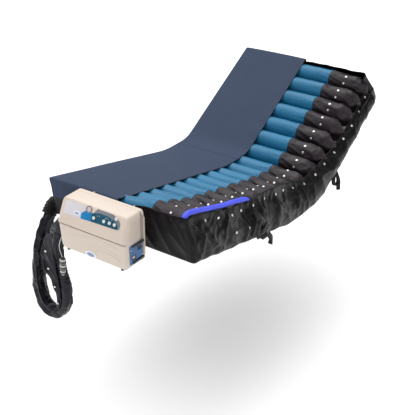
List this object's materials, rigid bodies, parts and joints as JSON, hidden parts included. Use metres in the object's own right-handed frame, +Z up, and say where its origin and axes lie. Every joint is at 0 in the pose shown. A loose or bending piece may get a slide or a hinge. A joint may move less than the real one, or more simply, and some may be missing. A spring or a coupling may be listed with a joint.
{
  "type": "pressure relief mattress",
  "caption": "Alternating air cell mattress bent to a raised back and legs, half covered by its top sheet, with a hanging control unit and hose bundle.",
  "frame": {"origin": "middle of the underside of the seat section, which rests on the bed deck", "axes": "+X across the bed to the right seen from the foot, +Y towards the head, +Z up"},
  "size_m": [1.0333, 2.2453, 1.0034],
  "materials": {
    "cell_fabric": "matte coated microfibre",
    "snap_metal": "satin",
    "foam": "open cell foam, matte",
    "base_nylon": "coated nylon, soft sheen",
    "cover_stretch": "smooth coated stretch knit",
    "air_tube": "clear soft tube",
    "button_white": "satin",
    "handle_blue": "padded woven nylon",
    "webbing": "woven webbing",
    "sleeve_nylon": "quilted nylon, soft sheen",
    "grey_plastic": "moulded",
    "black_plastic": "moulded",
    "housing_ivory": "fine moulded texture",
    "panel_print": "printed film, satin",
    "plate_blue": "moulded",
    "steel": "bright zinc plate",
    "compressor_metal": "cast",
    "board": "solder mask",
    "foot_rubber": "matte"
  },
  "bodies": {
    "seat_section": {"air_cell_08": "cell_fabric", "air_cell_09": "cell_fabric", "air_line_seat": "air_tube", "base_cover_seat": "base_nylon", "cell_snaps_seat": "snap_metal", "circuit_board": "board", "compressor": "compressor_metal", "control_panel": "panel_print", "foam_base_seat": "foam", "front_housing": "housing_ivory", "hose_connector": "black_plastic", "hose_coupling": "grey_plastic", "hose_sleeve": "sleeve_nylon", "housing_screws": "steel", "plate_clips": "black_plastic", "power_inlet": "black_plastic", "pump_feet": "foot_rubber", "rear_housing": "housing_ivory", "side_flap_seat": "base_nylon", "side_plate": "plate_blue", "top_cover_seat": "cover_stretch", "valve_block": "grey_plastic"},
    "back_section": {"air_cell_01": "cell_fabric", "air_cell_02": "cell_fabric", "air_cell_03": "cell_fabric", "air_cell_04": "cell_fabric", "air_cell_05": "cell_fabric", "air_cell_06": "cell_fabric", "air_cell_07": "cell_fabric", "air_line_back": "air_tube", "base_cover_back": "base_nylon", "cell_snaps_back": "snap_metal", "foam_base_back": "foam", "side_flap_back": "base_nylon", "strap_head": "webbing", "top_cover_back": "cover_stretch"},
    "leg_section": {"air_cell_10": "cell_fabric", "air_cell_11": "cell_fabric", "air_cell_12": "cell_fabric", "air_cell_13": "cell_fabric", "air_cell_14": "cell_fabric", "air_cell_15": "cell_fabric", "air_cell_16": "cell_fabric", "air_cell_17": "cell_fabric", "air_cell_18": "cell_fabric", "air_line_leg": "air_tube", "base_cover_leg": "base_nylon", "carry_handle": "handle_blue", "cell_snaps_leg": "snap_metal", "foam_base_leg": "foam", "side_flap_leg": "base_nylon", "strap_foot": "webbing", "top_cover_leg": "cover_stretch"},
    "hanger": {"hanger_bail": "steel"},
    "rocker": {"rocker_switch": "black_plastic"},
    "button_1": {"button_1": "button_white"},
    "button_2": {"button_2": "button_white"},
    "button_3": {"button_3": "button_white"},
    "button_4": {"button_4": "button_white"},
    "button_5": {"button_5": "button_white"}
  },
  "joints": [
    {"name": "back_fold", "type": "hinge", "parent": "seat_section", "child": "back_section", "pos_m": [0, 0.12065, 0.173], "axis": [1, 0, 0], "range_deg": [-30.5, 30]},
    {"name": "leg_fold", "type": "hinge", "parent": "seat_section", "child": "leg_section", "pos_m": [0, -0.12065, 0.173], "axis": [-1, 0, 0], "range_deg": [-12.5, 18], "deforming": ["hose_sleeve"]},
    {"name": "hanger_swing", "type": "hinge", "parent": "seat_section", "child": "hanger", "pos_m": [0.006, -1.166, 0.457], "axis": [1, 0, 0], "range_deg": [0, 80]},
    {"name": "rocker_tilt", "type": "hinge", "parent": "seat_section", "child": "rocker", "pos_m": [0.2225, -1.23, 0.299], "axis": [0, 1, 0], "range_deg": [-8, 8]},
    {"name": "button_1_press", "type": "slide", "parent": "seat_section", "child": "button_1", "axis": [0, 0.9135, -0.4069], "range_m": [0, 0.0015], "stiffness_N_per_m": 400, "springref_m": -0.0005},
    {"name": "button_2_press", "type": "slide", "parent": "seat_section", "child": "button_2", "axis": [0, 0.9135, -0.4069], "range_m": [0, 0.0015], "stiffness_N_per_m": 400, "springref_m": -0.0005},
    {"name": "button_3_press", "type": "slide", "parent": "seat_section", "child": "button_3", "axis": [0, 0.9135, -0.4069], "range_m": [0, 0.0015], "stiffness_N_per_m": 400, "springref_m": -0.0005},
    {"name": "button_4_press", "type": "slide", "parent": "seat_section", "child": "button_4", "axis": [0, 0.9135, -0.4069], "range_m": [0, 0.0015], "stiffness_N_per_m": 400, "springref_m": -0.0005},
    {"name": "button_5_press", "type": "slide", "parent": "seat_section", "child": "button_5", "axis": [0, 0.9135, -0.4069], "range_m": [0, 0.0015], "stiffness_N_per_m": 400, "springref_m": -0.0005}
  ]
}
